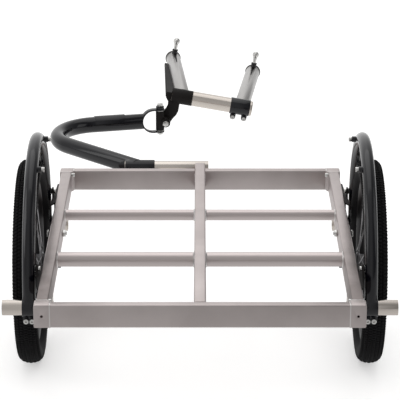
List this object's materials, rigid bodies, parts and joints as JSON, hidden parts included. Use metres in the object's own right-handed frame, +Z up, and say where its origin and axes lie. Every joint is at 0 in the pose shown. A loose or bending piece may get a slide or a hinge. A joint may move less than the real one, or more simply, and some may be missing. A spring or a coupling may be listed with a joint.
{
  "type": "bicycle trailer",
  "caption": "Flatbed bicycle trailer: an aluminium frame bed between wheels under tubular guard hoops, with a bent drawbar and a swivelling two-armed axle hitch.",
  "frame": {"origin": "on the ground under the middle of the trailer's overall plan, measured with the hitch in it", "axes": "+Z up, +Y forward towards the bicycle, +X to the right seen from behind; the wheels' axes are along X"},
  "size_m": [0.7554, 1.5802, 0.465],
  "materials": {
    "aluminium": "satin, lightly blasted, bare",
    "polished_aluminium": "polished",
    "black_paint": "semi-gloss black powder coat",
    "bright_steel": "bright zinc-plated or stainless",
    "tyre": "matt black rubber",
    "rim_black": "satin black",
    "hub_grey": "satin grey",
    "black_plastic": "matt black"
  },
  "bodies": {
    "chassis": {"side_rail_left": "aluminium", "side_rail_right": "aluminium", "corner_block_rear_left": "aluminium", "corner_block_rear_right": "aluminium", "corner_block_front_left": "aluminium", "corner_block_front_right": "aluminium", "rear_cross_rail": "aluminium", "front_cross_rail_left": "aluminium", "front_cross_rail_right": "aluminium", "centre_beam": "aluminium", "cross_tube_rear_left": "aluminium", "cross_tube_rear_right": "aluminium", "cross_tube_front_left": "aluminium", "cross_tube_front_right": "aluminium", "drawbar_mount_tube": "aluminium", "stub_tube_rear_left": "polished_aluminium", "stub_tube_rear_right": "polished_aluminium", "stub_tube_front_left": "polished_aluminium", "stub_tube_front_right": "polished_aluminium", "axle_carrier_left": "black_paint", "axle_carrier_right": "black_paint", "carrier_bolt_left": "bright_steel", "carrier_bolt_right": "bright_steel", "axle_left": "bright_steel", "axle_right": "bright_steel", "hoop_left": "black_paint", "hoop_right": "black_paint", "hoop_stay_rear_left": "black_paint", "hoop_stay_rear_right": "black_paint", "hoop_stay_front_left": "black_paint", "hoop_stay_front_right": "black_paint"},
    "left_wheel": {"tyre_left": "tyre", "rim_left": "rim_black", "hub_left": "hub_grey", "bearing_inner_left": "bright_steel", "bearing_outer_left": "bright_steel"},
    "right_wheel": {"tyre_right": "tyre", "rim_right": "rim_black", "hub_right": "hub_grey", "bearing_inner_right": "bright_steel", "bearing_outer_right": "bright_steel"},
    "drawbar": {"drawbar": "black_paint", "hitch_strap": "black_paint", "kingpin_bolt": "bright_steel", "kingpin_collar": "black_paint", "kingpin_washer_upper": "bright_steel", "kingpin_washer_lower": "bright_steel"},
    "hitch_block": {"hitch_block": "black_paint"},
    "yoke": {"roll_bolt": "bright_steel", "yoke_bracket": "black_paint", "crossbar": "polished_aluminium", "crossbar_cap": "polished_aluminium", "arm_left": "polished_aluminium", "arm_socket_left": "black_plastic"},
    "right_arm": {"right_clamp": "black_paint", "arm_right": "polished_aluminium", "arm_socket_right": "black_plastic"},
    "left_pin": {"pull_pin_left": "bright_steel"},
    "right_pin": {"pull_pin_right": "bright_steel"}
  },
  "joints": [
    {"name": "left_wheel_spin", "type": "hinge", "parent": "chassis", "child": "left_wheel", "pos_m": [-0.3387, -0.38359, 0.206], "axis": [1, 0, 0], "continuous": true},
    {"name": "right_wheel_spin", "type": "hinge", "parent": "chassis", "child": "right_wheel", "pos_m": [0.3387, -0.38359, 0.206], "axis": [1, 0, 0], "continuous": true},
    {"name": "drawbar_tilt", "type": "hinge", "parent": "chassis", "child": "drawbar", "pos_m": [0, 0.06741, 0.2572], "axis": [1, 0, 0], "range_deg": [-12, 12]},
    {"name": "hitch_yaw", "type": "hinge", "parent": "drawbar", "child": "hitch_block", "pos_m": [-0.09459, 0.43032, 0.2572], "axis": [0, 0, 1], "range_deg": [-60, 45]},
    {"name": "hitch_roll", "type": "hinge", "parent": "hitch_block", "child": "yoke", "pos_m": [-0.0806, 0.43015, 0.253], "axis": [0.0122, 0.9999, 0], "range_deg": [-16, 15]},
    {"name": "right_arm_slide", "type": "slide", "parent": "yoke", "child": "right_arm", "axis": [0.985, -0.012, -0.1719], "range_m": [-0.05, 0.002]},
    {"name": "left_pin_lift", "type": "slide", "parent": "yoke", "child": "left_pin", "axis": [0.1719, -0.0021, 0.9851], "range_m": [0, 0.008], "stiffness_N_per_m": 400, "springref_m": -0.006},
    {"name": "right_pin_lift", "type": "slide", "parent": "right_arm", "child": "right_pin", "axis": [0.1719, -0.0021, 0.9851], "range_m": [0, 0.008], "stiffness_N_per_m": 400, "springref_m": -0.006}
  ]
}
